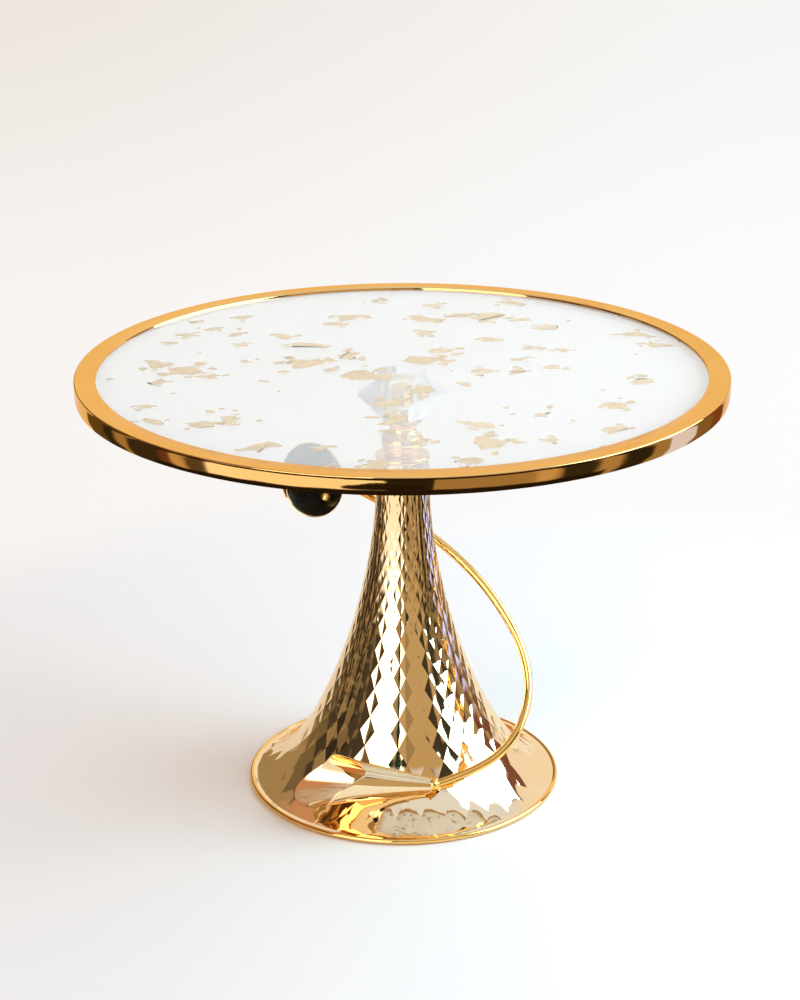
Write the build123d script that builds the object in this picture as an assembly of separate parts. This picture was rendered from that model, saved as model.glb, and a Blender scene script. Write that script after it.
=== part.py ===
from build123d import *
import os
from math import cos, pi, radians, sin, sqrt

# Cake stand: a gold-leaf glass plate in a metal rim, on a crystal and a turned spool,
# screwed onto a hammered trumpet pedestal with a wire stem and two rolled flowers.
# Sizes in mm. The origin is the middle of the base on the table, and +Z is up.

# Overall
stand_h = 207.0         # table to the top face of the rim
plate_d = 300.0         # outside of the rim
base_d = 150.0          # outside of the base edge wire

# Rim, an L of sheet metal: a flat flange on top and a band round the outside
rim_h = 7.8
rim_wall = 1.5
flange_w = 10.0
flange_t = 1.0
rim_edge_r = 0.7

# Laminated glass, glued up under the flange
top_pane_t = 3.0
film_t = 0.3
back_pane_t = 2.0
pane_gap = 0.4          # pane edge to the band
sealant_w = 2.0
sealant_foot = 0.2      # sealant's lower edge above the band's foot

# Crystal: widths across its flats
crystal_h = 21.4
crystal_w = 41.4
crystal_top_w = 30.0
crystal_foot_w = 18.0
crystal_waist = 0.56    # height of the widest place, as a share of the crystal's height
crystal_sides = 16
bond_t = 0.4
bond_d = 28.0

# Fastening
stud_d = 6.0
stud_grip = 12.0        # stud standing above the cap
stud_tail = 2.0         # stud below the nut
stud_chamfer = 0.6
thread_gap = 0.3
sleeve_d = 10.0
sleeve_gap = 0.05
sleeve_in_crystal = 12.0
sleeve_spare = 1.0      # sleeve's bore beyond the stud's end
sleeve_lift = 0.5       # sleeve's end above the spool's foot
nut_w = 10.0
nut_h = 5.0
lock_t = 1.5
lock_d = 11.0
hole_gap = 0.2

# Turned neck
cup_h = 4.1
cup_d = 18.4
cup_lip = 0.9           # straight edge of the cup
seat_t = 0.5            # soft washer between cup and crystal
seat_d = 16.0
spool_h = 12.0
spool_foot_d = 16.6
spool_knob_d = 19.2
spool_neck_d = 12.6
ring_count = 3
ring_h = 1.5
turned_swell = 0.3      # how far the turned rings and knob stand out of their corners
knob_share = 0.6        # knob's part of the height above the rings
shoulder_share = 0.82   # knob's top, as a share of its widest
turn_washer_t = 0.6
turn_washer_d = 16.0
cap_t = 2.4
cap_lip = 0.6           # cap beyond the neck
cap_spigot_h = 4.0
cap_edge_r = 1.0

# Trumpet pedestal
neck_d = 24.6
wall = 1.2
wall_points = 16        # places along the trumpet's side where the wall's inside is set off
neck_straight = 50.0    # how far the neck's steepness carries down
waist_r = 24.8
waist_z = 64.0
brim_run = 24.6         # how far the brim's flatness carries in
brim_rise = 1.2
wire_d = 2.4
wire_lift = 0.4         # edge wire above the table
plug_z = 124.0
plug_t = 4.0
plug_gap = 0.05
pad_w = 10.0
pad_t = 2.2
pad_in = 3.4            # pad's outside in from the base's edge

# Stem: its route's corners, from the joint on the brim round to the upper flower, as the
# turn round the stand in degrees, the share of the neck's height, and mm off the trumpet
stem_d = 4.0
stem_route = [
    (284, 0.129, 5.7), (305, 0.163, 14.4), (322, 0.229, 24.7), (336, 0.323, 31.3), (346, 0.439, 32.3),
    (356, 0.543, 25.8), (370, 0.637, 16.9), (398, 0.716, 8.0), (446, 0.794, 3.2), (492, 0.873, 12.4),
    (522, 0.938, 24.4),
]
neck_corner = 8         # the corner that passes the back of the neck
arc_share = 0.45
knot_d = 8.0
knot_len = 13.0
knot_drop = 1.8         # knot's middle in and down from the stem's end
dab_d = 7.0
dab_drop = 1.5

# Flowers of thin rolled sheet, each reaching from an end of the stem to its mouth
petal_t = 0.8
bell_reach = (-6.0, -17.5, 2.0)
bell_r = 14.0
bell_throat_r = 3.0
bell_flare = 5.0        # how far the bell's side runs on straight from the throat
ball_reach = (-2.5, -12.5, -2.5)
ball_d = 5.2
pin_d = 2.4
cone_reach = (-47.0, -3.0, 6.0)
cone_r = 9.3
cone_slant = 41.0       # degrees that the mouth is turned towards the front
cone_spare = 16.0       # length of roll past the mouth's middle, for the slanting cut
tip_solid = 4.0         # solid metal at the cone's tip

# Heights up the stand
rim_z = stand_h - rim_h
top_pane_z = stand_h - flange_t - top_pane_t
film_z = top_pane_z - film_t
back_pane_z = film_z - back_pane_t
bond_z = back_pane_z - bond_t
crystal_z = bond_z - crystal_h
seat_z = crystal_z - seat_t
cup_z = seat_z - cup_h
spool_z = cup_z - spool_h
turn_washer_z = spool_z - turn_washer_t
cap_z = turn_washer_z - cap_t

plate_r = plate_d / 2
band_r = plate_r - rim_wall
pane_r = band_r - pane_gap
base_r = base_d / 2
neck_r = neck_d / 2
stud_r = stud_d / 2
sleeve_r = sleeve_d / 2


def turned(*outline):
    """A solid turned about the stand's axis from (radius, height) corners."""
    face = make_face(Polyline(*outline, close=True))
    return revolve(Plane.XZ * face, Axis.Z)


def disc(radius, z, height, hole_r=0.0):
    inner = (hole_r, z), (hole_r, z + height)
    return turned(inner[0], (radius, z), (radius, z + height), inner[1])


def wall_edge(depth):
    """The trumpet's side in section, at this depth under its outer face."""
    outer = Bezier(
        (neck_r, cap_z), (neck_r, cap_z - neck_straight), (waist_r, waist_z),
        (base_r - wire_d / 2 - brim_run, wire_lift + wire_d * 0.75 + brim_rise),
        (base_r - wire_d / 2, wire_lift + wire_d * 0.75),
    )
    if depth == 0:
        return outer
    points = []
    for i in range(wall_points + 1):
        along = i / wall_points
        way = outer % along
        points.append(outer @ along + Vector(way.Y, -way.X) * depth)
    return Spline(*points)


def inside_trumpet(gap):
    """The room inside the trumpet, this far clear of its wall."""
    edge = wall_edge(wall + gap)
    top, foot = edge @ 0, edge @ 1
    closing = Polyline((foot.X, foot.Y), (foot.X, -1), (0, -1), (0, top.Y), (top.X, top.Y))
    return revolve(Plane.XZ * make_face(edge.edges() + closing.edges()), Axis.Z)


def edge_wire():
    section = Pos(base_r - wire_d / 2, wire_lift + wire_d / 2) * Circle(wire_d / 2)
    return revolve(Plane.XZ * section, Axis.Z)


def trumpet():
    outer, inner = wall_edge(0), wall_edge(wall)
    ends = Line(outer @ 0, inner @ 0), Line(outer @ 1, inner @ 1)
    face = make_face(outer.edges() + inner.edges() + ends[0].edges() + ends[1].edges())
    return revolve(Plane.XZ * face, Axis.Z) - edge_wire()


def neck_plug():
    """A disc wedged in the neck, which the nut pulls up against the wall."""
    slab = disc(neck_r * 2, plug_z, plug_t, stud_r + hole_gap)
    return slab & inside_trumpet(plug_gap)


def base_pad():
    outer_r = base_r - pad_in
    return disc(outer_r, 0, pad_t, outer_r - pad_w) & inside_trumpet(0)


def cap():
    lip_r = neck_r + cap_lip
    lip = disc(lip_r, cap_z, cap_t, stud_r + hole_gap)
    lip = fillet(lip.edges().filter_by(GeomType.CIRCLE).filter_by(lambda e: e.radius > neck_r), cap_edge_r)
    spigot = disc(neck_r * 2, cap_z - cap_spigot_h, cap_spigot_h, stud_r + hole_gap)
    return lip + (spigot & inside_trumpet(plug_gap))


def stud():
    foot = plug_z - lock_t - nut_h - stud_tail
    return chamfer(disc(stud_r, foot, cap_z + cap_t + stud_grip - foot).edges(), stud_chamfer)


def nut():
    blank = extrude(RegularPolygon(nut_w / 2, 6, major_radius=False) - Circle(stud_r), nut_h)
    return Pos(0, 0, plug_z - lock_t - nut_h) * blank


def spool():
    """Turned rings under a round knob, drawn in to a slim neck."""
    bore = sleeve_r + sleeve_gap
    foot_r, knob_r, slim_r = spool_foot_d / 2, spool_knob_d / 2, spool_neck_d / 2
    rings_h = ring_count * ring_h
    side = []
    for i in range(ring_count):
        grow = (knob_r - foot_r) / ring_count
        low, high = foot_r + grow * i, foot_r + grow * (i + 1)
        side.append(ThreePointArc(
            (low, ring_h * i), ((low + high) / 2 + turned_swell * 1.5, ring_h * (i + 0.5)),
            (high, ring_h * (i + 1))))
    knob_top = rings_h + (spool_h - rings_h) * knob_share
    shoulder = (knob_r * shoulder_share, knob_top)
    side.append(ThreePointArc((knob_r, rings_h), (knob_r + turned_swell, (rings_h + knob_top) / 2), shoulder))
    side.append(ThreePointArc(
        shoulder, (slim_r + turned_swell, knob_top + (spool_h - knob_top) * 0.4), (slim_r, spool_h)))
    closing = Polyline((slim_r, spool_h), (bore, spool_h), (bore, 0), (foot_r, 0))
    return Pos(0, 0, spool_z) * revolve(Plane.XZ * make_face(side + closing.edges()), Axis.Z)


def cup():
    """The dished seat that flares from the spool's neck to hold the crystal."""
    bore = sleeve_r + sleeve_gap
    slim_r, lip_r = spool_neck_d / 2, cup_d / 2
    edge_z = cup_h - cup_lip
    flare = ThreePointArc((slim_r, 0), (slim_r + (lip_r - slim_r) * 0.3, cup_h * 0.55), (lip_r, edge_z))
    closing = Polyline((lip_r, edge_z), (lip_r, cup_h), (bore, cup_h), (bore, 0), (slim_r, 0))
    return Pos(0, 0, cup_z) * revolve(Plane.XZ * make_face(flare.edges() + closing.edges()), Axis.Z)


def sleeve():
    """The threaded bush glued in the crystal, which the stud screws into."""
    foot = spool_z + sleeve_lift
    bore_top = cap_z + cap_t + stud_grip + sleeve_spare
    body = disc(sleeve_r, foot, crystal_z + sleeve_in_crystal - foot)
    return body - disc(stud_r + thread_gap, foot, bore_top - foot)


def crystal():
    """A block cut by rings of flat facets, each ring turned half a facet from the last."""
    widest = crystal_h * crystal_waist
    half_w, top_r, foot_r = crystal_w / 2, crystal_top_w / 2, crystal_foot_w / 2
    side = [
        (foot_r, 0), (foot_r + (half_w - foot_r) * 0.72, widest * 0.5), (half_w, widest),
        (top_r + (half_w - top_r) * 0.7, widest + (crystal_h - widest) * 0.58), (top_r, crystal_h),
    ]
    stone = disc(half_w + 2, 0, crystal_h)
    for tier in range(len(side) - 1):
        (r0, z0), (r1, z1) = side[tier], side[tier + 1]
        length = sqrt((r1 - r0) ** 2 + (z1 - z0) ** 2)
        out, up = (z1 - z0) / length, (r0 - r1) / length
        for i in range(crystal_sides):
            turn = 2 * pi * (i + 0.5 * (tier % 2)) / crystal_sides
            facet = Plane(
                origin=(r0 * cos(turn), r0 * sin(turn), z0),
                z_dir=(out * cos(turn), out * sin(turn), up))
            stone = split(stone, bisect_by=facet, keep=Keep.BOTTOM)
    hole = disc(sleeve_r + sleeve_gap, 0, sleeve_in_crystal + sleeve_gap)
    return Pos(0, 0, crystal_z) * (stone - hole)


def rim():
    ring = turned(
        (plate_r - flange_w, stand_h - flange_t), (band_r, stand_h - flange_t), (band_r, rim_z),
        (plate_r, rim_z), (plate_r, stand_h), (plate_r - flange_w, stand_h))
    outer = ring.edges().filter_by(GeomType.CIRCLE).filter_by(lambda e: e.radius > plate_r - 0.01)
    return fillet(outer, rim_edge_r)


def sealant():
    """The fillet of clear sealant in the corner under the glass."""
    return turned((band_r, back_pane_z), (band_r - sealant_w, back_pane_z), (band_r, rim_z + sealant_foot))


def trumpet_radius(z):
    """How far the trumpet's outer face is from the axis at this height."""
    side = wall_edge(0)
    low, high = 0.0, 1.0
    for _ in range(30):
        middle = (low + high) / 2
        if (side @ middle).Y > z:
            low = middle
        else:
            high = middle
    return (side @ low).X


def route_point(turn, share, off):
    z = share * cap_z
    r = trumpet_radius(z) + off
    return Vector(r * cos(radians(turn)), r * sin(radians(turn)), z)


def stem_path(points):
    radii = []
    for before, corner, after in zip(points, points[1:], points[2:]):
        run_in, run_out = corner - before, after - corner
        half_turn = radians(run_in.get_angle(run_out)) / 2
        radii.append(arc_share * min(run_in.length, run_out.length) * cos(half_turn) / sin(half_turn))
    print("stem bend radii", [round(r) for r in radii])
    return FilletPolyline(*points, radius=radii)


def stem(points):
    path = stem_path(points)
    return sweep(Plane(origin=path @ 0, z_dir=path % 0) * Circle(stem_d / 2), path=path)


def bell(throat):
    """The upper flower: an open cup round the end of the stem."""
    reach = Vector(*bell_reach)
    depth = reach.length
    t = petal_t
    outer = Bezier(
        (bell_throat_r, 0), (bell_throat_r + 1, bell_flare), (bell_r, depth * 0.35), (bell_r, depth))
    inner = Bezier(
        (bell_throat_r, t), (bell_throat_r + 1, bell_flare + t),
        (bell_r - t, depth * 0.35 + t), (bell_r - t, depth))
    edges = outer.edges() + inner.edges() + Line((bell_r - t, depth), (bell_r, depth)).edges()
    edges += Polyline((bell_throat_r, t), (0, t), (0, 0), (bell_throat_r, 0)).edges()
    return Plane(origin=throat, z_dir=reach) * revolve(Plane.XZ * make_face(edges), Axis.Z)


def spadix(throat):
    """The ball on a pin that stands in the upper flower."""
    start = throat + Vector(*bell_reach).normalized() * petal_t
    ball = throat + Vector(*ball_reach)
    pin = Cylinder(pin_d / 2, (ball - start).length, align=(Align.CENTER, Align.CENTER, Align.MIN))
    return Plane(origin=start, z_dir=ball - start) * pin + Pos(ball) * Sphere(ball_d / 2)


def cone(root):
    """The lower flower: a rolled cone with its mouth cut slanting."""
    reach = Vector(*cone_reach)
    tip_r = stem_d / 2 + petal_t
    grow = (cone_r - tip_r) / reach.length
    far = reach.length + cone_spare
    face = make_face(Polyline(
        (0, 0), (tip_r, 0), (tip_r + grow * far, far), (tip_r + grow * far - petal_t, far),
        (tip_r - petal_t, tip_solid), (0, tip_solid), close=True))
    roll = Plane(origin=root, z_dir=reach) * revolve(Plane.XZ * face, Axis.Z)
    turn = radians(cone_slant)
    mouth = Plane(origin=root + reach, z_dir=(-cos(turn), -sin(turn), 0))
    return split(roll, bisect_by=mouth, keep=Keep.BOTTOM)


def lump(centre, direction, width, length):
    """A lump of braze, longer along one direction."""
    ball = scale(Sphere(width / 2), by=(1, 1, length / width))
    return Plane(origin=centre, z_dir=direction) * ball


def main_lump(shape):
    """What is left of a lump once the pieces through it have cut its crumbs off."""
    return max(shape.solids(), key=lambda solid: solid.volume)


def lower_knot(root):
    """The braze that holds the stem and the lower flower on the brim."""
    out = Vector(root.X, root.Y, 0).normalized()
    centre = root - out * knot_drop - Vector(0, 0, knot_drop)
    return lump(centre, out + Vector(0, 0, 1), knot_d, knot_len)


def neck_dab(corner):
    """The braze between the stem and the back of the neck."""
    out = Vector(corner.X, corner.Y, 0).normalized()
    return lump(corner - out * dab_drop, out, dab_d, dab_d)


route = [route_point(*corner) for corner in stem_route]
stem_rod = stem(route)
upper_flower = bell(route[-1]) - stem_rod
trumpet_block = inside_trumpet(-wall)
lower_flower = main_lump(cone(route[0]) - stem_rod - trumpet_block)

nodes = {
    "pedestal": trumpet(),
    "base_edge_wire": edge_wire(),
    "base_pad": base_pad(),
    "pedestal_cap": cap(),
    "neck_plug": neck_plug(),
    "lock_washer": disc(lock_d / 2, plug_z - lock_t, lock_t, stud_r + hole_gap),
    "stud_nut": nut(),
    "threaded_stud": stud(),
    "turn_washer": disc(turn_washer_d / 2, turn_washer_z, turn_washer_t, stud_r + thread_gap),
    "turned_spool": spool(),
    "crystal_cup": cup(),
    "crystal_seat": disc(seat_d / 2, seat_z, seat_t, sleeve_r + sleeve_gap),
    "threaded_sleeve": sleeve(),
    "crystal": crystal(),
    "bond_disc": disc(bond_d / 2, bond_z, bond_t),
    "back_pane": disc(pane_r, back_pane_z, back_pane_t),
    "gold_leaf_film": disc(pane_r, film_z, film_t),
    "top_pane": disc(pane_r, top_pane_z, top_pane_t),
    "rim_ring": rim(),
    "rim_sealant": sealant(),
    "stem_rod": stem_rod,
    "upper_flower": upper_flower,
    "upper_spadix": spadix(route[-1]) - upper_flower - stem_rod,
    "lower_flower": lower_flower,
    "lower_knot": main_lump(lower_knot(route[0]) - trumpet_block - stem_rod - lower_flower),
    "neck_dab": main_lump(neck_dab(route[neck_corner]) - trumpet_block - stem_rod),
}

os.makedirs("parts", exist_ok=True)
for name, shape in nodes.items():
    solids = shape.solids()
    export_step(solids[0] if len(solids) == 1 else Compound(solids), f"parts/{name}.step")
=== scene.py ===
import bpy
import random
from math import cos, hypot, pi, radians, sin
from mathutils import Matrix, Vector


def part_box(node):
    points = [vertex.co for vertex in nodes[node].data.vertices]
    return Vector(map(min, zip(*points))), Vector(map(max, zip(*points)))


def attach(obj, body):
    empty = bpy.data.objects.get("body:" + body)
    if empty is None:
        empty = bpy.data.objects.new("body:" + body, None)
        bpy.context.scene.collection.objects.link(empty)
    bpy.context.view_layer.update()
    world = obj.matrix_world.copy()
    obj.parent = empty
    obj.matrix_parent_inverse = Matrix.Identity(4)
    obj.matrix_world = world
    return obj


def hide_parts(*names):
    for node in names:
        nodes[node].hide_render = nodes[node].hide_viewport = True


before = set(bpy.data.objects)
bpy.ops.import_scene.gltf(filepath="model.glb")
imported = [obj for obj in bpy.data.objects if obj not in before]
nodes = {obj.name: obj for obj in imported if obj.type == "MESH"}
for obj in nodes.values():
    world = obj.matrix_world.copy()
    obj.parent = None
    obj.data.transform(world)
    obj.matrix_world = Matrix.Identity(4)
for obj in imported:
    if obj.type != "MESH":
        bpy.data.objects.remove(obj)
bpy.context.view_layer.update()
mm = 0.001
middle = (0, 0, 0)


# Camera

view = {"place": (0, -1.0264, 0.5213), "down": 20.28, "turn": 0.07, "roll": -0.22, "lens": 83.95}

bpy.ops.object.camera_add(location=view["place"])
camera = bpy.context.active_object
camera.name = "camera"
camera.data.lens = view["lens"]
camera.rotation_euler = (radians(90 - view["down"]), 0, radians(view["turn"]))
camera.rotation_euler.rotate_axis("Z", radians(view["roll"]))
bpy.context.scene.camera = camera
bpy.context.scene.view_settings.view_transform = "Standard"


# Shader helpers

class Wire:                                   # a socket that can be used in sums
    def __init__(self, finish, socket):
        self.finish, self.socket = finish, socket

    def sum(self, operation, first, second):
        return self.finish.node("ShaderNodeMath", {"operation": operation}, {0: first, 1: second})

    def __add__(self, other):
        return self.sum("ADD", self, other)

    def __sub__(self, other):
        return self.sum("SUBTRACT", self, other)

    def __rsub__(self, other):
        return self.sum("SUBTRACT", other, self)

    def __mul__(self, other):
        return self.sum("MULTIPLY", self, other)

    def __pow__(self, other):
        return self.sum("POWER", self, other)

    def __gt__(self, other):
        return self.sum("GREATER_THAN", self, other)

    __radd__, __rmul__ = __add__, __mul__


class Finish:                                 # one node tree, a material's unless it is given
    def __init__(self, name, tree=None, **settings):
        if tree is None:
            self.material = bpy.data.materials.new(name)
            self.material.use_nodes = True
            tree = self.material.node_tree
            self.shader = tree.nodes["Principled BSDF"]
            self.out = tree.nodes["Material Output"]
        self.tree = tree
        for key, value in settings.items():
            self.shader.inputs[key.replace("_", " ")].default_value = value

    def node(self, kind, settings=None, inputs=None, output=0):
        made = self.tree.nodes.new(kind)
        for key, value in (settings or {}).items():
            if key == "stops":
                ramp = made.color_ramp.elements
                while len(ramp) > 1:
                    ramp.remove(ramp[0])
                ramp[0].position, ramp[0].color = value[0]
                for place, colour in value[1:]:
                    ramp.new(place).color = colour
            else:
                setattr(made, key, value)
        for key, value in (inputs or {}).items():
            self.give(made.inputs[key], value)
        return Wire(self, made.outputs[output])

    def give(self, socket, value):
        if isinstance(value, Wire):
            self.tree.links.new(value.socket, socket)
        else:
            socket.default_value = value

    def feed(self, **inputs):
        for key, value in inputs.items():
            self.give(self.shader.inputs[key.replace("_", " ")], value)

    def place(self, scale=(1, 1, 1), turn=(0, 0, 0)):    # object coordinates, stretched and turned
        where = self.node("ShaderNodeTexCoord", output="Object")
        return self.node("ShaderNodeMapping", {}, {"Vector": where, "Scale": scale, "Rotation": turn})

    def noise(self, scale, detail=2.0, stretch=(1, 1, 1), roughness=0.5):
        inputs = {"Vector": self.place(stretch), "Scale": scale, "Detail": detail, "Roughness": roughness}
        return self.node("ShaderNodeTexNoise", {}, inputs)

    def blend(self, share, first, second):               # two colours
        return self.node("ShaderNodeMix", {"data_type": "RGBA"}, {0: share, 6: first, 7: second}, 2)

    def band(self, value, low, high):                    # 0 at low, 1 at high, smooth between
        return self.node("ShaderNodeMapRange", {"interpolation_type": "SMOOTHSTEP"},
                         {"Value": value, "From Min": low, "From Max": high})

    def bump(self, height, distance, strength=1.0, before=None):
        inputs = {"Height": height, "Distance": distance, "Strength": strength}
        if before:
            inputs["Normal"] = before
        return self.node("ShaderNodeBump", {}, inputs)

    def shadowless(self):                                # lamps shine through it
        ray = self.node("ShaderNodeLightPath", output="Is Shadow Ray")
        clear = self.node("ShaderNodeBsdfTransparent", {}, {"Color": (0.93, 0.93, 0.92, 1)})
        surface = Wire(self, self.shader.outputs[0])
        mixed = self.node("ShaderNodeMixShader", {}, {0: ray, 1: surface, 2: clear})
        self.tree.links.new(mixed.socket, self.out.inputs["Surface"])


def tint(red, green, blue):
    return (red, green, blue, 1)


# Studio

studio = {
    "backdrop": {"across": (-0.2, 0.2), "rise": (-17, -5.5),      # left and right, low and high; painted shade makes the backdrop darker and warmer towards the upper left
                 "low": (tint(0.94, 0.91, 0.88), tint(0.98, 0.98, 0.98)),
                 "high": (tint(0.83, 0.765, 0.71), tint(0.915, 0.905, 0.89))},
    "peak": 3.0,                              # what a wall of brightness 1 below stands for
    "wallTint": {"cream": (1, 0.95, 0.86), "tan": (1, 0.74, 0.40), "dark": (1, 0.8, 0.55),
                 "red": (1, 0.42, 0.3), "white": (0.98, 0.95, 0.92), "green": (0.4, 1, 0.7),
                 "silver": (0.72, 0.9, 2.1)},
    # degrees round from the front, clockwise from above, where each stretch of wall starts
    "low": [(-180, "white", 0.30), (-140, "tan", 0.04), (-125, "dark", 0.012), (-115, "tan", 0.13),
            (-110, "dark", 0.015), (-90, "red", 0.045), (-85, "tan", 0.20), (-80, "tan", 0.035),
            (-70, "cream", 0.40), (-5, "dark", 0.008), (10, "tan", 0.125), (45, "tan", 0.20),
            (55, "dark", 0.012), (70, "tan", 0.15), (80, "dark", 0.01), (95, "tan", 0.12),
            (105, "silver", 0.36), (120, "tan", 0.08), (135, "red", 0.07), (150, "white", 0.30)],
    "high": [(-180, "white", 0.32), (-165, "tan", 0.12), (-130, "tan", 0.06), (-115, "dark", 0.02),
             (-105, "tan", 0.10), (-95, "dark", 0.012), (-85, "tan", 0.07), (-75, "dark", 0.02),
             (-55, "tan", 0.06), (-50, "cream", 1.0), (-10, "green", 0.012), (-5, "tan", 0.12),
             (5, "tan", 0.18), (45, "dark", 0.018), (60, "tan", 0.09), (70, "dark", 0.02),
             (80, "tan", 0.11), (100, "red", 0.05), (105, "tan", 0.14), (115, "red", 0.07),
             (130, "white", 0.32)],
    "soften": 1.2,                            # degrees over which one stretch passes into the next
    "ground": {"from": (-24.5, -22.5), "sides": (-95, 75), "tint": tint(0.006, 0.004, 0.002)},
    "figure": {"middle": (-7, -20.5), "reach": (15, 3.2), "edge": (0.85, 1.1)},       # a dark figure stands in front
    "ceiling": {"from": (36, 47), "across": (-0.25, -0.05),
                "left": tint(0.19, 0.10, 0.06), "right": tint(0.265, 0.30, 0.37)},
    "lamp": {"turn": 88, "up": 29, "away": 1.15, "size": (1.2, 0.86), "watts": 20.5,
             "colour": (0.53, 0.80, 1.0)},
    "floorRadius": 0.6, "floorFade": (0.29, 0.43), "floorTint": tint(0.96, 0.885, 0.815),
}


def wallStops(walls):
    stops = []
    for index, (begin, name, brightness) in enumerate(walls):
        colour = tint(*[part * brightness for part in studio["wallTint"][name]])
        end = walls[index + 1][0] if index + 1 < len(walls) else 180
        for edge in (begin + studio["soften"] / 2, end - studio["soften"] / 2):
            stops.append((edge / 360 + 0.5, colour))
    return stops


def wallRamps(sky, azimuth, walls):           # a ramp holds 32 stops, so the walls are in two halves
    stops = wallStops(walls)
    cut = len(stops) // 2
    cut -= cut % 2
    halves = [sky.node("ShaderNodeValToRGB", {"stops": part}, {"Fac": azimuth})
              for part in (stops[:cut], stops[cut:])]
    border = (stops[cut - 1][0] + stops[cut][0]) / 2
    return sky.blend(azimuth > border, *halves)


def makeSky():
    world = bpy.data.worlds.new("studio")
    bpy.context.scene.world = world
    world.use_nodes = True
    sky = Finish("studio", world.node_tree)
    shade = sky.tree.nodes["Background"]
    way = sky.node("ShaderNodeTexCoord", output="Generated")
    split = sky.node("ShaderNodeSeparateXYZ", {}, {0: way}).socket.node
    x, y, z = [Wire(sky, socket) for socket in split.outputs]
    azimuth = sky.node("ShaderNodeMath", {"operation": "ARCTAN2"}, {0: x, 1: 0 - y}) * (0.5 / pi) + 0.5
    up = sky.node("ShaderNodeMath", {"operation": "ARCSINE"}, {0: z})
    low = wallRamps(sky, azimuth, studio["low"])
    ground, figure, over = studio["ground"], studio["figure"], studio["ceiling"]
    dark = 1 - sky.band(up, *[radians(edge) for edge in ground["from"]])
    for edge, hand in zip(ground["sides"], (1, -1)):
        dark = dark * ((azimuth - (edge / 360 + 0.5)) * hand > 0)
    off = []
    places = (azimuth - 0.5) * 360, up * (180 / pi)
    for value, centre, reach in zip(places, figure["middle"], figure["reach"]):
        off.append(((value - centre) * (1 / reach)) * ((value - centre) * (1 / reach)))
    shadow = 1 - sky.band(off[0] + off[1], *figure["edge"])
    dark = sky.node("ShaderNodeMath", {"operation": "MAXIMUM"}, {0: dark, 1: shadow})
    low = sky.blend(dark, low, ground["tint"])
    walls = sky.blend(sky.band(up, radians(-8), radians(2)), low, wallRamps(sky, azimuth, studio["high"]))
    ceiling = sky.blend(sky.band(x, *over["across"]), over["left"], over["right"])
    share = sky.band(up * (180 / pi), *over["from"])
    around = sky.blend(share, walls, ceiling)
    sky.give(shade.inputs["Color"], around)
    shade.inputs["Strength"].default_value = studio["peak"]
    # the backdrop the camera sees, with painted shade darkening it towards the upper left
    paper = studio["backdrop"]
    across = sky.band(x, *paper["across"])
    rise = sky.band(up * (180 / pi), *paper["rise"])
    paper = sky.blend(rise, sky.blend(across, *paper["low"]), sky.blend(across, *paper["high"]))
    plain = sky.node("ShaderNodeBackground", {}, {"Color": paper, "Strength": 1})
    seen = sky.node("ShaderNodeLightPath", output="Is Camera Ray")
    mixed = sky.node("ShaderNodeMixShader", {}, {0: seen, 1: Wire(sky, shade.outputs[0]), 2: plain})
    sky.tree.links.new(mixed.socket, sky.tree.nodes["World Output"].inputs["Surface"])


def makeFloor():
    bpy.ops.mesh.primitive_circle_add(vertices=128, radius=studio["floorRadius"], fill_type="NGON")
    floor = bpy.context.active_object
    floor.name = "floor"
    finish = Finish("floor", Roughness=0.55, Base_Color=studio["floorTint"])
    finish.shader.inputs["Specular IOR Level"].default_value = 0.15
    where = finish.place()
    reach = finish.node("ShaderNodeVectorMath", {"operation": "LENGTH"}, {0: where}, "Value")
    near, far = studio["floorFade"]
    finish.feed(Alpha=1 - finish.band(reach, near, far))
    floor.data.materials.append(finish.material)


def makeLamp():
    lamp = studio["lamp"]
    turn, up = radians(lamp["turn"]), radians(lamp["up"])
    way = Vector((cos(up) * sin(turn), -cos(up) * cos(turn), sin(up)))
    bpy.ops.object.light_add(type="AREA", location=way * lamp["away"] + Vector((0, 0, 0.05)))
    light = bpy.context.active_object
    light.name = "lamp"
    light.data.shape = "RECTANGLE"
    light.data.size, light.data.size_y = lamp["size"]
    light.data.energy = lamp["watts"]
    light.data.color = lamp["colour"]
    light.rotation_euler = way.to_track_quat("Z", "Y").to_euler()


makeSky()
makeFloor()
makeLamp()
print("camera and studio")


# Finishes

def goldFinish(name, colour, deep, edge, roughness, waves, wiped=0.03):
    gold = Finish(name, Metallic=1.0, Specular_Tint=edge)
    cloud = gold.noise(24, 3)
    smear = gold.noise(60, 4, (1, 1, 0.35))
    grain = gold.noise(1400, 1)
    gold.feed(Base_Color=gold.blend(gold.band(cloud, 0.35, 0.7), colour, deep),
              Roughness=gold.band(smear, 0.45, 0.75) * wiped + roughness)
    broad = gold.bump(gold.noise(45, 1), waves)
    gold.feed(Normal=gold.bump(grain, waves * 0.012, 0.6, broad))
    return gold


def rimFinish():
    rim = goldFinish("polishedRimGold", tint(0.95, 0.58, 0.215), tint(0.91, 0.53, 0.185), tint(0.98, 0.72, 0.42),
                     0.05, 0.0004)
    return rim.material


rimGold = rimFinish()
plateGold = goldFinish("polishedGoldPlate", tint(1.0, 0.64, 0.21), tint(0.96, 0.57, 0.17), tint(1, 0.85, 0.6),
                       0.05, 0.0003).material
hammerGold = goldFinish("hammeredPaleGold", tint(1.0, 0.77, 0.48), tint(0.96, 0.71, 0.42), tint(1, 0.9, 0.75),
                        0.035, 0.0002).material


flowerGold = goldFinish("paleGoldPetal", tint(1.0, 0.77, 0.46), tint(0.96, 0.71, 0.40), tint(1, 0.9, 0.75),
                        0.045, 0.0002).material


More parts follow.
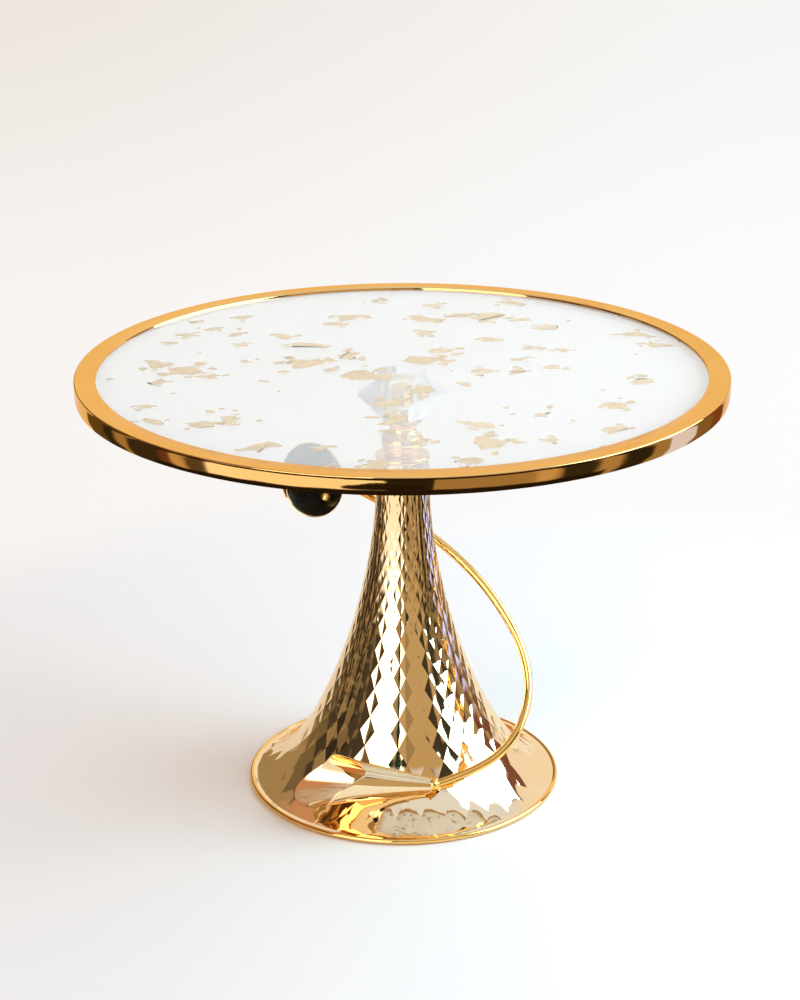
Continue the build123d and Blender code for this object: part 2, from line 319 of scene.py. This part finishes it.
def paintedShadeFinish():                          # painted shade: a near-black coat inside the upper flower, standing in for the shade and dark reflections in its hollow
    shadeCoat = Finish("paintedShadeLining", Metallic=0.3)
    cloud = shadeCoat.noise(300, 4)
    shadeCoat.feed(Base_Color=shadeCoat.blend(cloud, tint(0.012, 0.010, 0.008), tint(0.035, 0.028, 0.018)),
                 Roughness=cloud * 0.15 + 0.16)
    shadeCoat.feed(Normal=shadeCoat.bump(shadeCoat.noise(500, 2), 0.00005))
    return shadeCoat.material


paintedShadeLining = paintedShadeFinish()


def steelFinish(name, threads=0.0):
    steel = Finish(name, Metallic=1.0)
    cloud = steel.noise(160, 4)
    steel.feed(Base_Color=steel.blend(cloud, tint(0.56, 0.57, 0.58), tint(0.72, 0.70, 0.66)),
               Roughness=cloud * 0.2 + 0.22)
    height = steel.noise(900, 3)
    normal = steel.bump(height, 0.00003)
    if threads:
        turns = steel.node("ShaderNodeTexWave", {"bands_direction": "Z", "wave_profile": "TRI"},
                           {"Vector": steel.place(), "Scale": 0.314 / threads})
        normal = steel.bump(turns, 0.0006, 1.0, normal)
    steel.feed(Normal=normal)
    return steel.material


def glassFinish(name, colour, index, roughness=0.0):
    glass = Finish(name, Base_Color=colour, Roughness=roughness, IOR=index, Transmission_Weight=1.0)
    wave = glass.noise(35, 1)
    glass.feed(Normal=glass.bump(wave, 0.00002))
    glass.shadowless()
    return glass.material


plateGlass = glassFinish("plateGlass", tint(0.93, 0.935, 0.925), 1.5)
crystalGlass = glassFinish("cutCrystal", tint(0.985, 0.99, 0.99), 1.55)
clearGlue = glassFinish("clearGlue", tint(0.95, 0.95, 0.92), 1.45, 0.15)


def leafFinish():
    leaf = Finish("goldLeaf", Metallic=0.35)
    cloud = leaf.noise(220, 5, roughness=0.65)
    leaf.feed(Base_Color=leaf.blend(leaf.band(cloud, 0.3, 0.7), tint(0.93, 0.68, 0.42), tint(0.79, 0.55, 0.31)),
              Roughness=cloud * 0.3 + 0.35)
    leaf.feed(Normal=leaf.bump(leaf.noise(700, 4), 0.0003, 0.8))
    return leaf.material


def filmFinish():
    film = Finish("milkyFilm", Roughness=0.6, Alpha=0.22)
    film.feed(Base_Color=film.blend(film.noise(12, 3), tint(0.86, 0.82, 0.77), tint(0.90, 0.865, 0.815)))
    return film.material


def feltFinish():
    felt = Finish("padFelt")
    fibre = felt.noise(900, 5, (1, 1, 0.3))
    felt.feed(Base_Color=felt.blend(fibre, tint(0.035, 0.033, 0.03), tint(0.11, 0.10, 0.09)),
              Roughness=fibre * 0.1 + 0.88)
    felt.feed(Normal=felt.bump(fibre, 0.0006))
    return felt.material


def washerFinish():
    washer = Finish("softWasher", Subsurface_Weight=0.15)
    cloud = washer.noise(300, 3)
    washer.feed(Base_Color=washer.blend(cloud, tint(0.62, 0.60, 0.55), tint(0.72, 0.70, 0.65)),
                Roughness=cloud * 0.15 + 0.45)
    washer.feed(Normal=washer.bump(washer.noise(1200, 2), 0.00003))
    return washer.material


steel = steelFinish("zincSteel")
threadSteel = steelFinish("zincThread", 1 * mm)
goldLeaf, milkyFilm, padFelt, softWasher = leafFinish(), filmFinish(), feltFinish(), washerFinish()

kept = {
    steel: ("neck_plug", "lock_washer", "stud_nut"), threadSteel: ("threaded_stud",), padFelt: ("base_pad",),
    softWasher: ("turn_washer", "crystal_seat"), clearGlue: ("rim_sealant",),
    plateGold: ("threaded_sleeve", "neck_dab", "lower_knot"),
}
for material, names in kept.items():
    for name in names:
        nodes[name].data.materials.clear()
        nodes[name].data.materials.append(material)
print("finishes")


# Edit mode helpers

def deselect():
    for item in bpy.context.selected_objects:
        item.select_set(False)


def start(name, primitive, **settings):       # a new primitive, left in edit mode with all of it selected
    deselect()
    primitive(**settings)
    piece = bpy.context.active_object
    piece.name = piece.data.name = name
    bpy.ops.object.mode_set(mode="EDIT")
    return piece


def pick(piece, kind, test):                  # selects the vertices, edges or faces that pass a test
    bpy.ops.mesh.select_mode(type={"vertices": "VERT", "edges": "EDGE", "polygons": "FACE"}[kind])
    bpy.ops.mesh.select_all(action="DESELECT")
    bpy.ops.object.mode_set(mode="OBJECT")
    for item in getattr(piece.data, kind):
        item.select = test(item)
    bpy.ops.object.mode_set(mode="EDIT")


def pickRing(piece, height, slack=0.02 * mm):
    pick(piece, "vertices", lambda point: abs(point.co.z - height) < slack)


def widen(by):
    bpy.ops.transform.resize(value=(by, by, 1), center_override=middle)


def pull(radius, height, toRadius, toHeight):            # draws a new ring from the selected one
    bpy.ops.mesh.extrude_region_move(TRANSFORM_OT_translate={"value": (0, 0, toHeight - height)})
    widen(toRadius / radius)


def square():                                 # doubles merged, faces turned outwards
    bpy.ops.mesh.select_all(action="SELECT")
    bpy.ops.mesh.remove_doubles(threshold=0.000002)
    bpy.ops.mesh.normals_make_consistent(inside=False)


def modify(piece, kind, **settings):
    bpy.context.view_layer.objects.active = piece
    modifier = piece.modifiers.new(kind.title(), kind)
    for key, value in settings.items():
        setattr(modifier, key, value)
    bpy.ops.object.modifier_apply(modifier=modifier.name)


def finish(piece, body, slot, material, replaced=(), angle=30):
    if bpy.context.mode != "OBJECT":
        bpy.ops.object.mode_set(mode="OBJECT")
    deselect()
    piece.select_set(True)
    bpy.context.view_layer.objects.active = piece
    bpy.ops.object.transform_apply(location=True, rotation=True, scale=True)
    bpy.ops.object.shade_smooth_by_angle(angle=radians(angle))
    piece.data.materials.clear()
    piece.data.materials.append(material)
    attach(piece, body)
    if replaced:
        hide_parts(*replaced)
    print("made", piece.name, len(piece.data.polygons), "faces")
    return piece


def turned(name, section, segments):          # a closed section drawn round the stand's axis, in mm
    rings = [(radius * mm, height * mm) for radius, height in section]
    radius, height = rings[0]
    piece = start(name, bpy.ops.mesh.primitive_circle_add, vertices=segments, radius=radius,
                  location=(0, 0, height))
    bpy.ops.object.mode_set(mode="OBJECT")
    bpy.ops.object.transform_apply(location=True)
    bpy.ops.object.mode_set(mode="EDIT")
    for toRadius, toHeight in rings[1:]:
        pull(radius, height, toRadius, toHeight)
        radius, height = toRadius, toHeight
    pick(piece, "vertices", lambda point: any(
        abs(point.co.z - z) < 0.001 * mm and abs(hypot(point.co.x, point.co.y) - r) < 0.001 * mm
        for r, z in (rings[0], rings[-1])))
    bpy.ops.mesh.select_mode(type="EDGE")
    bpy.ops.mesh.bridge_edge_loops()
    square()
    bpy.ops.object.mode_set(mode="OBJECT")
    return piece


# Pedestal

trumpet = {
    "sides": 33, "wall": 1.2, "straight": 50, "waist": (24.8, 64), "brimRun": 24.6, "brimRise": 1.2,
    "rowAt": 96.5, "rowPitch": 9.6, "rowGrowth": 0.18, "turn": -2.0, "dish": 0.08, "brimDish": 0.03,
    "uneven": 0.09, "innerRows": 9,
}
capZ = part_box("pedestal")[1].z / mm
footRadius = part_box("base_edge_wire")[1].x / mm - 1.2
footZ = 2.2
neckRadius = 12.3
sideCorners = [Vector(point) for point in (
    (neckRadius, capZ), (neckRadius, capZ - trumpet["straight"]), trumpet["waist"],
    (footRadius - trumpet["brimRun"], footZ + trumpet["brimRise"]), (footRadius, footZ))]


def side(along):                              # the trumpet's outer face, as radius and height
    corners = sideCorners
    while len(corners) > 1:
        corners = [first.lerp(second, along) for first, second in zip(corners, corners[1:])]
    return corners[0]


def sideWay(along):
    return (side(min(along + 0.001, 1)) - side(max(along - 0.001, 0))).normalized()


def alongAt(height):
    low, high = 0.0, 1.0
    for step in range(40):
        half = (low + high) / 2
        low, high = (half, high) if side(half).y > height else (low, half)
    return low


def hammerRows():                             # where the rings of facets lie, from the neck to the brim
    rows = []
    for way in (-1, 1):
        along = alongAt(trumpet["rowAt"])
        while 0 < along < 1:
            if along not in rows:
                rows.append(along)
            step = trumpet["rowPitch"] + trumpet["rowGrowth"] * (side(along).x - 13)
            here = side(along)
            while 0 < along < 1 and (side(along) - here).length < step:
                along += way * 0.0005
    rows = sorted(row for row in rows if 0.012 < row < 0.975)
    return [0.0] + rows + [1.0]


def makePedestal():
    rows = hammerRows()
    points = [side(row) * mm for row in rows]
    sides = trumpet["sides"]
    piece = start("pedestal_hammered", bpy.ops.mesh.primitive_circle_add, vertices=sides,
                  radius=points[0].x, location=(0, 0, points[0].y))
    bpy.ops.object.mode_set(mode="OBJECT")
    bpy.ops.object.transform_apply(location=True)
    bpy.ops.object.mode_set(mode="EDIT")
    bpy.ops.transform.rotate(value=radians(trumpet["turn"] + 180 / sides), orient_axis="Z", center_override=middle)
    for before, point in zip(points, points[1:]):
        pull(before.x, before.y, point.x, point.y)
    bpy.ops.mesh.select_all(action="SELECT")
    bpy.ops.mesh.normals_make_consistent(inside=False)
    bpy.ops.mesh.poke()
    bpy.ops.object.mode_set(mode="OBJECT")
    ringZ = [point.y for point in points]

    def onRing(index):
        return any(abs(piece.data.vertices[index].co.z - z) < 0.01 * mm for z in ringZ)

    bpy.ops.object.mode_set(mode="EDIT")
    for upper, lower in zip(rows, rows[1:]):               # the new points go out to the true side
        half = side((upper + lower) / 2) * mm
        low, high = side(lower).y * mm, side(upper).y * mm
        pick(piece, "vertices", lambda point: low + 0.01 * mm < point.co.z < high - 0.01 * mm)
        spot = next(point.co for point in piece.data.vertices if point.select)
        bpy.ops.transform.translate(value=(0, 0, half.y - spot.z))
        widen(half.x / hypot(spot.x, spot.y))
    foot, top = min(ringZ) + 0.01 * mm, max(ringZ) - 0.01 * mm

    def oldEdge(edge):                        # between two rings' points, but not on either end
        if not (onRing(edge.vertices[0]) and onRing(edge.vertices[1])):
            return False
        heights = [piece.data.vertices[index].co.z for index in edge.vertices]
        return not (max(heights) < foot or min(heights) > top)

    pick(piece, "edges", oldEdge)
    bpy.ops.mesh.dissolve_edges(use_verts=False)
    pick(piece, "vertices", lambda point: foot < point.co.z < top)
    bpy.ops.transform.vertex_random(offset=trumpet["uneven"] * mm, seed=7)
    bpy.ops.mesh.select_all(action="SELECT")
    bpy.ops.mesh.normals_make_consistent(inside=False)
    bpy.ops.mesh.mark_sharp()
    bpy.ops.transform.edge_crease(value=1)
    for high, low, dish in ((200, 22, trumpet["dish"]), (22, 9, (trumpet["dish"] + trumpet["brimDish"]) / 2),
                            (9, 0, trumpet["brimDish"])):
        pick(piece, "polygons", lambda face: low * mm <= face.center.z < high * mm and len(face.vertices) == 4)
        bpy.ops.mesh.poke(offset=-dish, use_relative_offset=True)
    # the inside of the wall, drawn up from the foot and joined to the neck
    pickRing(piece, points[-1].y)
    before = points[-1]
    for step in range(trumpet["innerRows"] + 1):
        along = 1 - step / trumpet["innerRows"]
        way = sideWay(along)
        inner = (side(along) + Vector((way.y, -way.x)) * trumpet["wall"]) * mm
        pull(before.x, before.y, inner.x, inner.y)
        before = inner
    pick(piece, "vertices", lambda point: point.co.z > top - 0.02 * mm or (
        abs(point.co.z - before.y) < 0.001 * mm and hypot(point.co.x, point.co.y) < before.x + 0.01 * mm))
    bpy.ops.mesh.select_mode(type="EDGE")
    bpy.ops.mesh.bridge_edge_loops()
    bpy.ops.object.mode_set(mode="OBJECT")
    modify(piece, "SUBSURF", levels=2, render_levels=2)
    return finish(piece, "base", "hammered_gold", hammerGold, ["pedestal"], 9)


makePedestal()


# Rim, edge wire, cap and turned neck

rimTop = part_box("rim_ring")[1].z / mm
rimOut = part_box("rim_ring")[1].x / mm
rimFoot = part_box("rim_ring")[0].z / mm
rimShape = {"flange": 10, "sheet": 1.0, "band": 1.5, "segments": 256, "bulge": 0.1, "turnUnder": 0.11,
            "corner": 0.55}


def makeRim():
    inner, band = rimOut - rimShape["flange"], rimOut - rimShape["band"]
    under = rimTop - rimShape["sheet"]
    section = [(inner, under), (band, under), (band, rimFoot + 0.1), (band + 0.35, rimFoot)]
    for share in range(9):                    # the band stands out a hair at its middle
        height = rimFoot + 0.05 + (rimTop - rimFoot - rimShape["corner"] - 0.15) * share / 8
        bulge = rimShape["bulge"] * (1 - (share / 4 - 1) ** 2)
        turnUnder = rimShape["turnUnder"] * max(0, 1 - share / 1.5)
        section.append((rimOut - rimShape["bulge"] + bulge - turnUnder, height))
    corner = rimShape["corner"]
    for step in range(6):
        turn = pi / 2 * step / 5
        section.append((rimOut - 0.06 - corner + corner * cos(turn), rimTop - corner + corner * sin(turn)))
    section += [(inner + 0.15, rimTop), (inner, rimTop - 0.15)]
    piece = turned("rim", section, rimShape["segments"])
    return finish(piece, "top", "gold_plate", rimGold, ["rim_ring"], 50)


hem = {"lap": 0.9, "arc": (-200, 78), "steps": 18}


def makeEdgeWire():                           # the bead, and the lip of sheet lapped back over the brim
    low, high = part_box("base_edge_wire")
    radius = (high.z - low.z) / 2 / mm
    middleR, middleZ = high.x / mm - radius, low.z / mm + radius
    first, last = [radians(turn) for turn in hem["arc"]]
    section = []
    for step in range(hem["steps"] + 1):
        turn = first + (last - first) * step / hem["steps"]
        section.append((middleR + radius * cos(turn), middleZ + radius * sin(turn)))
    lip = middleR - hem["lap"]
    section += [(lip, footZ + 0.04), (lip - 0.3, footZ - 0.4)]
    piece = turned("base_hem", section, 192)
    return finish(piece, "base", "gold_plate", plateGold, ["base_edge_wire"], 35)


def makeCap():
    low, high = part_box("pedestal_cap")
    top, foot, lip = high.z / mm, low.z / mm, high.x / mm
    piece = turned("neck_cap", [(3.2, foot), (neckRadius - 1.3, foot), (neckRadius - 1.3, capZ), (lip, capZ),
                                (lip, top), (3.2, top)], 96)
    modify(piece, "BEVEL", width=0.9 * mm, segments=4, limit_method="ANGLE", angle_limit=radians(40))
    return finish(piece, "base", "gold_plate", plateGold, ["pedestal_cap"], 40)


spoolShape = {"bore": 5.06, "rings": 3, "ringHeight": 1.5, "foot": 8.3, "knob": 9.6, "neck": 6.3}


def makeSpool():
    low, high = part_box("turned_spool")
    foot, top = low.z / mm, high.z / mm
    bore, grow = spoolShape["bore"], (spoolShape["knob"] - spoolShape["foot"]) / spoolShape["rings"]
    section = [(bore, foot), (spoolShape["foot"] - 0.15, foot)]
    for ring in range(spoolShape["rings"]):
        base = foot + spoolShape["ringHeight"] * ring
        radius = spoolShape["foot"] + grow * ring
        section += [(radius + 0.35, base + 0.3), (radius + 0.55, base + 0.75), (radius + 0.45, base + 1.2),
                    (radius + 0.05, base + 1.48)]
    base = foot + spoolShape["rings"] * spoolShape["ringHeight"]
    section += [(9.75, base + 0.8), (9.9, base + 2.0), (9.5, base + 3.4), (8.5, base + 4.4), (7.4, base + 5.2),
                (6.7, base + 6.0), (6.35, base + 6.8), (6.3, top), (bore, top)]
    piece = turned("turned_neck", section, 96)
    return finish(piece, "top", "gold_plate", plateGold, ["turned_spool"], 38)


def makeCup():
    low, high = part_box("crystal_cup")
    foot, top, lip = low.z / mm, high.z / mm, high.x / mm
    piece = turned("crystal_dish", [(5.06, foot), (6.3, foot), (6.45, foot + 0.9), (6.9, foot + 1.7), (7.8, foot + 2.4),
                                    (lip - 0.3, foot + 3.0), (lip, foot + 3.35), (lip, top - 0.25), (lip - 0.25, top),
                                    (5.06, top)], 96)
    return finish(piece, "top", "gold_plate", plateGold, ["crystal_cup"], 38)


makeRim()
makeEdgeWire()
makeCap()
makeSpool()
makeCup()


# Crystal, glass and gold leaf

def makeCrystal():
    low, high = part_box("crystal")
    foot, glassFoot = low.z / mm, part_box("back_pane")[0].z / mm
    height = high.z / mm - foot
    tiers = [(9, 0), (17.42, 0.28), (20.7, 0.56), (18.99, 0.8152), (15, 1.0)]
    sides = 16
    piece = start("crystal_cut", bpy.ops.mesh.primitive_cylinder_add, vertices=64, radius=22.5 * mm,
                  depth=height * mm, location=(0, 0, (foot + height / 2) * mm))
    bpy.ops.object.mode_set(mode="OBJECT")
    bpy.ops.object.transform_apply(location=True)
    bpy.ops.object.mode_set(mode="EDIT")
    for tier, ((r0, s0), (r1, s1)) in enumerate(zip(tiers, tiers[1:])):
        across, up = (s1 - s0) * height, r0 - r1
        for facet in range(sides):
            turn = 2 * pi * (facet + 0.5 * (tier % 2)) / sides
            bpy.ops.mesh.select_all(action="SELECT")
            bpy.ops.mesh.bisect(
                plane_co=(r0 * cos(turn) * mm, r0 * sin(turn) * mm, (foot + s0 * height) * mm),
                plane_no=(across * cos(turn), across * sin(turn), up), use_fill=True, clear_outer=True)
    square()
    # the glue pad on its table, just short of the plate
    pick(piece, "polygons", lambda face: face.normal.z > 0.99)
    bpy.ops.mesh.inset(thickness=1.0 * mm)
    bpy.ops.mesh.extrude_region_move(TRANSFORM_OT_translate={"value": (0, 0, (glassFoot - foot - height - 0.03) * mm)})
    bpy.ops.object.mode_set(mode="OBJECT")
    modify(piece, "BEVEL", width=0.12 * mm, segments=1, limit_method="ANGLE", angle_limit=radians(8))
    return finish(piece, "top", "crystal_glass", crystalGlass, ["crystal", "bond_disc"], 1)


def makeGlass():
    low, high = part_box("back_pane")[0] / mm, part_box("top_pane")[1] / mm
    piece = start("glass_plate", bpy.ops.mesh.primitive_cylinder_add, vertices=192, radius=high.x * mm,
                  depth=(high.z - low.z) * mm, location=(0, 0, (high.z + low.z) / 2 * mm))
    pick(piece, "edges", lambda edge: abs(piece.data.vertices[edge.vertices[0]].co.z
                                         - piece.data.vertices[edge.vertices[1]].co.z) < 0.1 * mm)
    bpy.ops.mesh.bevel(offset=0.3 * mm, segments=2, affect="EDGES")
    return finish(piece, "top", "clear_glass", plateGlass, ["top_pane", "back_pane"], 12)


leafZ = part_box("gold_leaf_film")[1].z
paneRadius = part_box("top_pane")[1].x
# lengths in mm; large flakes keep apart, and crumbs torn from one lie at its edge
leafShape = {
    "large": 62, "reach": 138, "apart": 13, "width": (5, 22, 9), "depthShare": (0.4, 0.95), "turn": 50,
    "crumbs": 3, "crumbsFrom": 8, "crumbSize": (0.22, 0.45), "crumbOut": (0.6, 0.75),
    "small": 40, "smallReach": 143, "smallSize": (1.6, 4.0), "smallStretch": (0.8, 1.5), "seed": 11,
}


def addFlake(x, y, width, depth, turn, seed):
    bpy.ops.mesh.primitive_circle_add(vertices=11, radius=0.46, fill_type="NGON")
    bpy.ops.transform.vertex_random(offset=0.34, seed=seed)
    bpy.ops.mesh.subdivide(number_cuts=3)
    bpy.ops.transform.vertex_random(offset=0.11, seed=seed + 1)
    bpy.ops.transform.resize(value=(width * mm, depth * mm, 0), center_override=middle)
    bpy.ops.transform.rotate(value=-radians(turn), orient_axis="Z", center_override=middle)
    bpy.ops.transform.translate(value=(x * mm, y * mm, leafZ - (seed % 11) * 0.008 * mm))


def scatter(chance, reach):                   # a chance place on the film
    while True:
        x, y = [chance.uniform(-reach, reach) for axis in range(2)]
        if hypot(x, y) < reach:
            return x, y


def leafSpots():                              # each flake's place, width, depth and turn
    shape = leafShape
    chance = random.Random(shape["seed"])
    centres, spots = [], []
    while len(centres) < shape["large"]:
        width = chance.triangular(*shape["width"])
        x, y = scatter(chance, shape["reach"] - width / 2)
        if any(hypot(x - other[0], y - other[1]) < shape["apart"] for other in centres):
            continue
        centres.append((x, y))
        depth = width * chance.uniform(*shape["depthShare"])
        spots.append((x, y, width, depth, chance.uniform(-shape["turn"], shape["turn"])))
        outX, outY = shape["crumbOut"]
        for crumb in range(shape["crumbs"] if width > shape["crumbsFrom"] else 1):
            size = chance.uniform(*shape["crumbSize"])
            toward = chance.uniform(0, 2 * pi)
            spots.append((x + cos(toward) * width * outX, y + sin(toward) * depth * outY,
                          width * size, depth * size, chance.uniform(-shape["turn"], shape["turn"])))
    for small in range(shape["small"]):
        x, y = scatter(chance, shape["smallReach"])
        size = chance.uniform(*shape["smallSize"])
        spots.append((x, y, size * chance.uniform(*shape["smallStretch"]), size, chance.uniform(-90, 90)))
    return spots


def makeLeaf():
    piece = start("gold_leaf", bpy.ops.mesh.primitive_circle_add, vertices=8, radius=0.5, fill_type="NGON")
    bpy.ops.mesh.delete(type="VERT")
    for index, spot in enumerate(leafSpots()):
        addFlake(*spot, seed=index * 3 + 5)
    bpy.ops.mesh.select_all(action="SELECT")
    bpy.ops.mesh.extrude_region_move(TRANSFORM_OT_translate={"value": (0, 0, 0.005 * mm)})
    square()
    return finish(piece, "top", "leaf_film", goldLeaf, [], 20)


def makeFilm():
    piece = start("milky_film", bpy.ops.mesh.primitive_cylinder_add, vertices=192, radius=paneRadius - 0.5 * mm,
                  depth=0.04 * mm, location=(0, 0, leafZ - 0.18 * mm))
    bpy.ops.mesh.select_all(action="DESELECT")
    pick(piece, "polygons", lambda face: abs(face.normal.z) > 0.9)
    bpy.ops.mesh.inset(thickness=2 * mm)
    return finish(piece, "top", "leaf_film", milkyFilm, ["gold_leaf_film"], 30)


makeCrystal()
makeGlass()
makeLeaf()
makeFilm()


# Stem

stem = {
    "across": 4.0,
    # from the brim round to the upper flower: turn in degrees, share of the neck's height, mm off the trumpet
    "route": [(284, 0.129, 5.7), (305, 0.163, 14.4), (322, 0.229, 24.7), (336, 0.323, 31.3), (346, 0.439, 32.3),
              (356, 0.543, 25.8), (370, 0.637, 16.9), (398, 0.716, 8.0), (446, 0.794, 3.2), (492, 0.873, 12.4),
              (522, 0.938, 24.4)],
}


def routePoint(turn, share, off):
    height = share * capZ
    radius = side(alongAt(height)).x + off
    return Vector((radius * cos(radians(turn)), radius * sin(radians(turn)), height)) * mm


route = [routePoint(*corner) for corner in stem["route"]]


def makeStem():
    deselect()
    bpy.ops.curve.primitive_nurbs_path_add()
    piece = bpy.context.active_object
    piece.name = piece.data.name = "wire_stem"
    spline = piece.data.splines[0]
    spline.points.add(len(route) - len(spline.points))
    for point, place in zip(spline.points, route):
        point.co = (*place, 1)
    spline.order_u = 3
    spline.use_endpoint_u = True
    piece.data.resolution_u = 16
    piece.data.bevel_depth = stem["across"] / 2 * mm
    piece.data.bevel_resolution = 6
    piece.data.use_fill_caps = True
    bpy.ops.object.convert(target="MESH")
    bpy.ops.object.mode_set(mode="EDIT")
    square()
    return finish(piece, "base", "gold_plate", plateGold, ["stem_rod"], 50)


makeStem()
# Rolled flowers

def rollSheet(name, root, axis, up, shape):   # a grid rolled into a funnel round an axis, overlapping itself
    around, along = shape["grid"]
    piece = start(name, bpy.ops.mesh.primitive_grid_add, x_subdivisions=around, y_subdivisions=along, size=2)
    bpy.ops.object.mode_set(mode="OBJECT")
    axis = axis.normalized()
    up = (up - axis * up.dot(axis)).normalized()
    front = up.cross(axis)
    begin, sweep = shape["from"], shape["sweep"]
    for point in piece.data.vertices:
        share, reach = (point.co.x + 1) / 2, (point.co.y + 1) / 2
        turn = begin + sweep * share
        lean = cos(radians(turn - shape["tipAt"]))
        lip = shape["lip"] + shape["slant"] * lean * abs(lean)
        distance = shape["throat"] + (lip - shape["throat"]) * reach
        radius = shape["profile"](reach, distance)
        flare = shape["flare"] * max(0, reach - 0.62) ** 2 * 6.9
        flare *= 1 + 0.6 * cos(radians(turn - shape["flareAt"]))
        tucked = max(0, (share - shape["tuckFrom"]) / (1 - shape["tuckFrom"]))
        radius += flare - shape["tuck"] * tucked * (0.3 + reach)
        distance += flare * 0.35
        way = up * cos(radians(turn)) + front * sin(radians(turn))
        point.co = root + (axis * distance + way * radius) * mm
    modify(piece, "SOLIDIFY", thickness=shape["sheet"] * mm, offset=-1)
    modify(piece, "SUBSURF", levels=2, render_levels=2)
    return piece


coneShape = {
    "grid": (36, 14), "from": 42, "sweep": 392, "lip": 48, "slant": 15.5, "tipAt": 212, "throat": 0.5,
    "profile": lambda reach, distance: 2.75 + 0.172 * distance, "flare": 1.0, "flareAt": 230,
    "tuck": 1.9, "tuckFrom": 0.80, "sheet": 0.6,
}
bellShape = {
    "grid": (36, 14), "from": 235, "sweep": 395, "lip": 18.6, "slant": 1.2, "tipAt": 40, "throat": 0.2,
    "profile": lambda reach, distance: 2.7 + 12.3 * reach ** 0.62, "flare": 0.8, "flareAt": 235,
    "tuck": 2.4, "tuckFrom": 0.86, "sheet": 0.6,
}
liningShape = dict(bellShape, profile=lambda reach, distance: 1.8 + 12.3 * reach ** 0.62, sheet=0.2, lip=18.1)
coneReach, bellReach, ballReach = Vector((-47, -3, 4.8)), Vector((-7, -17.5, 3.2)), Vector((-0.6, -12.5, -5.2))


def makeLowerFlower():
    piece = rollSheet("lower_flower_roll", route[0], coneReach, Vector((0, 0, 1)), coneShape)
    return finish(piece, "base", "gold_plate", flowerGold, ["lower_flower"], 40)


def makeUpperFlower():
    piece = rollSheet("upper_flower_cup", route[-1], bellReach, Vector((0, 0, 1)), bellShape)
    finish(piece, "base", "gold_plate", flowerGold, ["upper_flower"], 40)
    # painted shade: a thin dark sheet inside the cup where its hollow is in shade
    piece = rollSheet("upper_flower_shade_lining", route[-1], bellReach, Vector((0, 0, 1)), liningShape)
    return finish(piece, "base", "gold_plate", paintedShadeLining, [], 40)


spadix = {"ball": 3.0, "pin": 9, "pinShare": 0.7, "poleAt": 2.6}


def makeSpadix():                             # a ball, its pin drawn out of the ball's pole into the throat
    piece = start("upper_flower_ball", bpy.ops.mesh.primitive_uv_sphere_add, segments=32, ring_count=20,
                  radius=spadix["ball"] * mm)
    pick(piece, "polygons", lambda face: face.center.z < -spadix["poleAt"] * mm)
    bpy.ops.mesh.extrude_region_move(TRANSFORM_OT_translate={"value": (0, 0, -spadix["pin"] * mm)})
    bpy.ops.transform.resize(value=[spadix["pinShare"]] * 2 + [1], center_override=middle)
    bpy.ops.object.mode_set(mode="OBJECT")
    piece.rotation_euler = ballReach.to_track_quat("Z", "Y").to_euler()
    piece.location = route[-1] + ballReach * mm
    return finish(piece, "base", "gold_plate", plateGold, ["upper_spadix"], 40)


makeLowerFlower()
makeUpperFlower()
makeSpadix()
